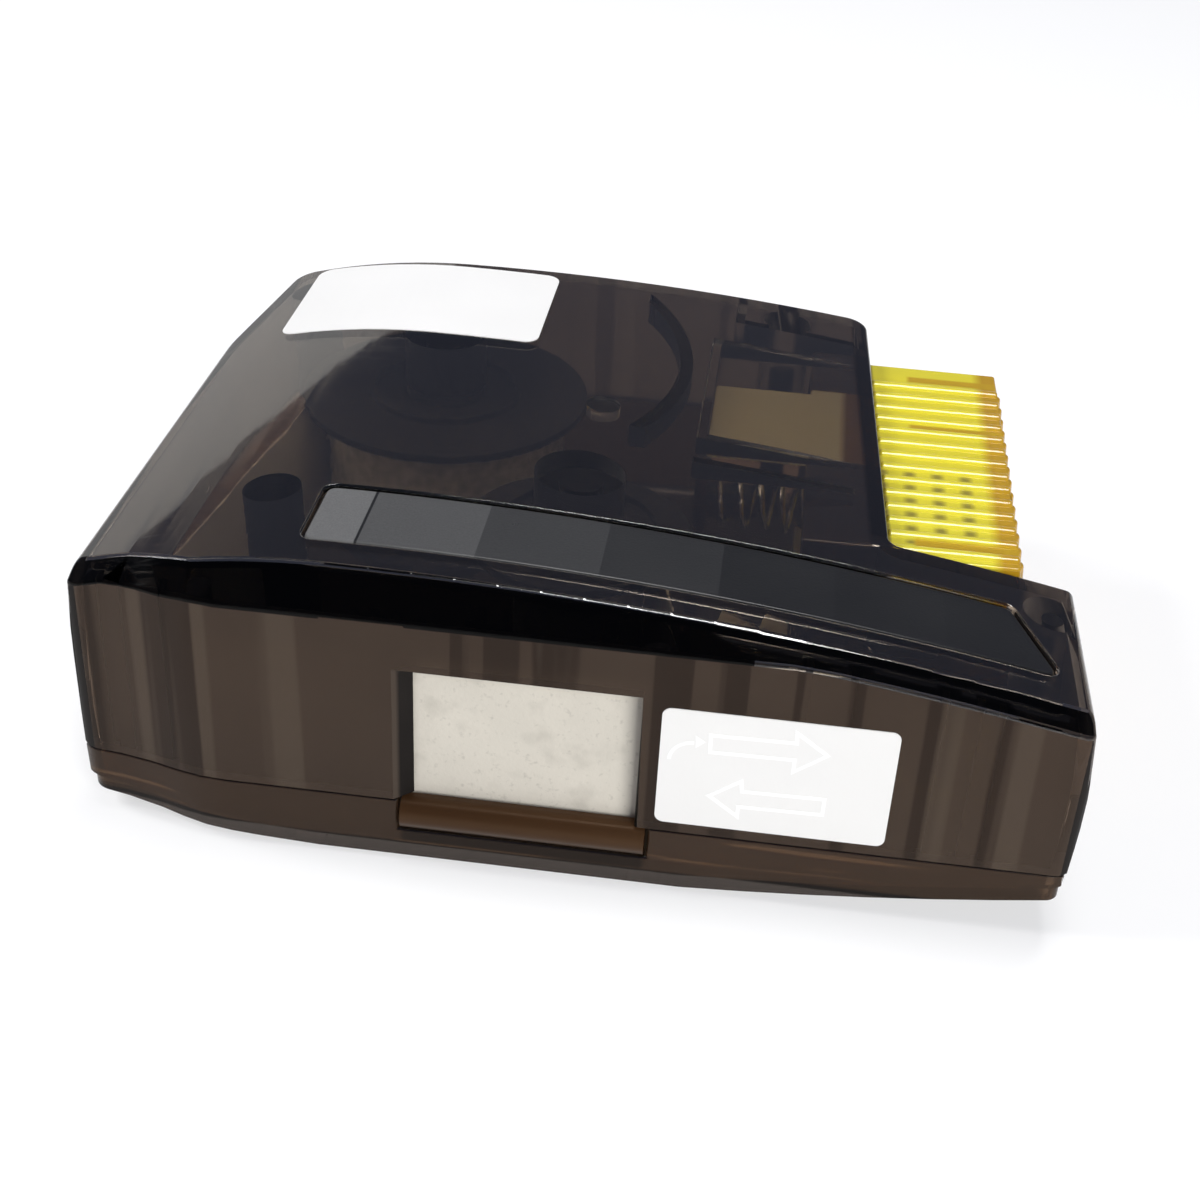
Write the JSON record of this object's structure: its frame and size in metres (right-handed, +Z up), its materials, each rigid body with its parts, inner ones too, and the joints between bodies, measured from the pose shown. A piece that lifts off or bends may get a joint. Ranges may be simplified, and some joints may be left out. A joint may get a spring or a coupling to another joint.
{
  "type": "fibre optic cleaning cassette",
  "caption": "Smoked two-shell cassette with a ribbed yellow squeeze trigger that opens a shuttered window and advances cleaning tape for fibre connector ends.",
  "frame": {"origin": "middle of the case's length and depth, on the flat of the belly that the case rests on", "axes": "+X to the right along the front wall that has the window, +Y back from that wall, +Z up through the crowned top; the trigger stands in the right-hand back corner and is pressed towards -X"},
  "size_m": [0.115, 0.0917, 0.0376],
  "materials": {
    "smoked_shell": "smoked translucent polycarbonate, glossy, lightly scuffed",
    "printed_strip": "satin printed film, light grey fading to near black along its length",
    "white_paper": "bare self-adhesive paper label",
    "smoked_bar": "brown translucent plastic, glossy",
    "blasted_aluminium": "bead-blasted, faintly mottled",
    "ivory_plastic": "natural acetal, satin",
    "black_plastic": "moulded, satin",
    "soft_pad": "soft closed-cell pad",
    "woven_tape": "fine woven cleaning tape",
    "bright_steel": "drawn wire and ground pin",
    "dark_steel": "zinc-plated screw",
    "felt": "pressed felt",
    "red_plastic": "moulded acetal",
    "yellow_plastic": "translucent yellow plastic, satin on the ribs"
  },
  "bodies": {
    "case": {"upper_shell": "smoked_shell", "lower_shell": "smoked_shell", "accent_strip": "printed_strip", "rear_label": "white_paper", "front_label": "white_paper", "window_rail": "smoked_bar", "shutter_guide": "black_plastic", "pad_holder": "black_plastic", "cleaning_pad": "soft_pad", "tape_web": "woven_tape", "guide_posts": "bright_steel", "drag_washer": "felt", "gear_axles": "bright_steel", "shell_screws": "dark_steel", "supply_cap": "black_plastic", "takeup_cap": "black_plastic", "return_spring": "bright_steel"},
    "trigger": {"trigger": "yellow_plastic", "drive_rack": "ivory_plastic", "link_rack": "yellow_plastic"},
    "shutter": {"shutter_plate": "blasted_aluminium", "shutter_rack": "ivory_plastic"},
    "pinion": {"shutter_pinion": "ivory_plastic"},
    "drive": {"drive_gear": "ivory_plastic"},
    "drive_pawl": {"drive_pawl": "red_plastic"},
    "stop_pawl": {"stop_pawl": "red_plastic"},
    "takeup": {"takeup_reel": "black_plastic", "takeup_tape": "woven_tape", "ratchet_wheel": "ivory_plastic"},
    "supply": {"supply_reel": "black_plastic", "supply_tape": "woven_tape"}
  },
  "joints": [
    {"name": "trigger_slide", "type": "slide", "parent": "case", "child": "trigger", "axis": [-1, 0, 0], "range_m": [0, 0.012], "stiffness_N_per_m": 300, "springref_m": -0.004, "deforming": ["return_spring"]},
    {"name": "shutter_slide", "type": "slide", "parent": "case", "child": "shutter", "axis": [-1, 0, 0], "range_m": [0, 0.024]},
    {"name": "pinion_turn", "type": "hinge", "parent": "case", "child": "pinion", "pos_m": [0.027, -0.0295, 0.0092], "axis": [0, 0, -1], "range_deg": [0, 152.8]},
    {"name": "drive_turn", "type": "hinge", "parent": "case", "child": "drive", "pos_m": [-0.003, -0.014, 0.0056], "axis": [0, 0, 1], "range_deg": [0, 76.4]},
    {"name": "drive_pawl_lift", "type": "hinge", "parent": "drive", "child": "drive_pawl", "pos_m": [0.0051, -0.014, 0.0077], "axis": [0, 0, -1], "range_deg": [0, 8], "stiffness_Nm_per_rad": 0.0004, "springref_deg": -11.46},
    {"name": "stop_pawl_lift", "type": "hinge", "parent": "case", "child": "stop_pawl", "pos_m": [-0.0154, -0.0125, 0.0077], "axis": [0, 0, -1], "range_deg": [0, 5], "stiffness_Nm_per_rad": 0.0004, "springref_deg": -11.46},
    {"name": "takeup_spin", "type": "hinge", "parent": "case", "child": "takeup", "pos_m": [-0.003, -0.014, 0.018], "axis": [0, 0, 1], "continuous": true},
    {"name": "supply_spin", "type": "hinge", "parent": "case", "child": "supply", "pos_m": [-0.026, 0.02, 0.018], "axis": [0, 0, 1], "continuous": true}
  ],
  "couplings": [
    {"joint": "shutter_slide", "follows": "trigger_slide", "ratio": 2},
    {"joint": "pinion_turn", "follows": "trigger_slide", "rad_per_m": 222.22},
    {"joint": "drive_turn", "follows": "trigger_slide", "rad_per_m": 111.11},
    {"joint": "supply_spin", "follows": "takeup_spin", "ratio": 0.5152}
  ]
}
